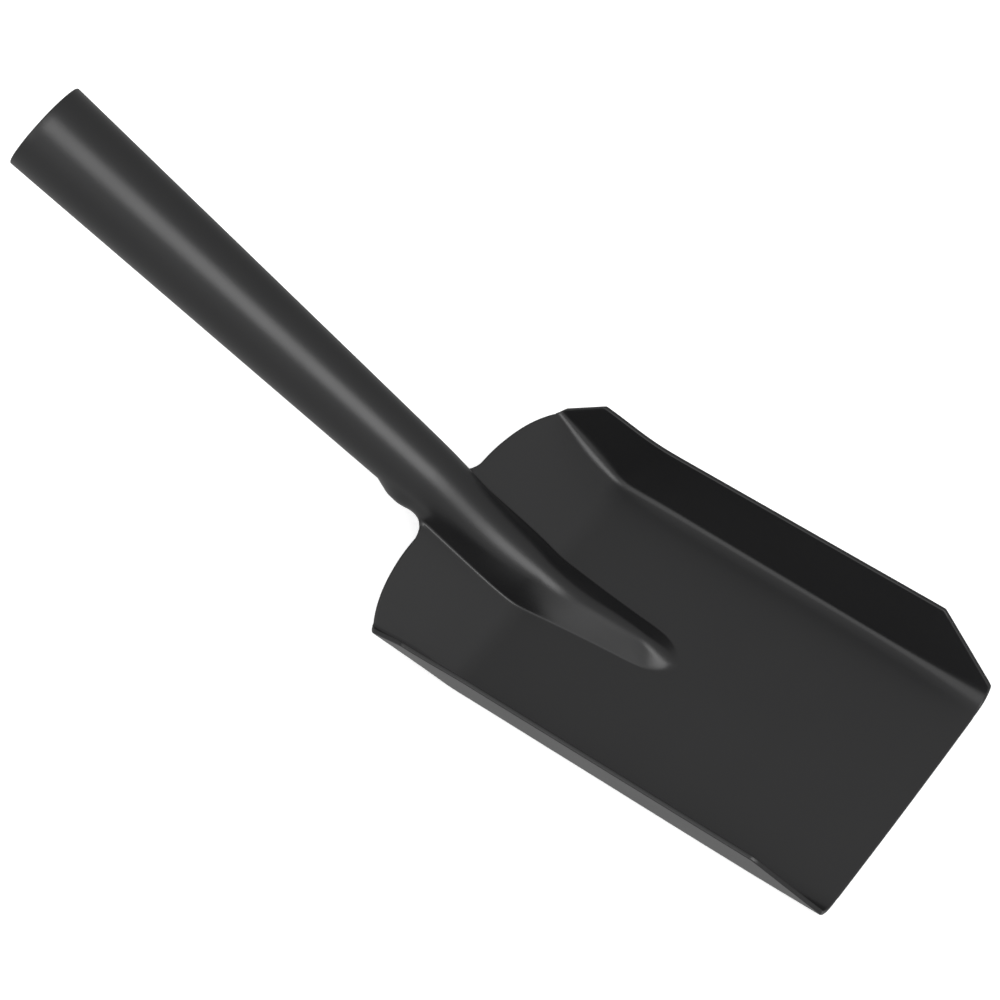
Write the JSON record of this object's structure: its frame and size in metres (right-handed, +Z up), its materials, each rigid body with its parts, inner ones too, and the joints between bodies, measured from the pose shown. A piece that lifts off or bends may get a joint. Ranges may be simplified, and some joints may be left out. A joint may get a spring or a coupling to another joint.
{
  "type": "grain scoop shovel",
  "caption": "Hand scoop of pressed steel: open pan with folded side walls and a clipped front, and a hollow tapered handle rising from its heel.",
  "frame": {"origin": "on the ground, in the middle of the pan's flat underside", "axes": "+X towards the digging edge, +Y towards the left wall, +Z up out of the open pan"},
  "size_m": [0.3335, 0.1086, 0.1112],
  "materials": {
    "powder_coat": "satin charcoal-black powder coat over steel, with a fine orange-peel texture"
  },
  "bodies": {
    "root": {"blade": "powder_coat", "socket_handle": "powder_coat", "neck_weld": "powder_coat", "seam_weld": "powder_coat"}
  },
  "joints": []
}
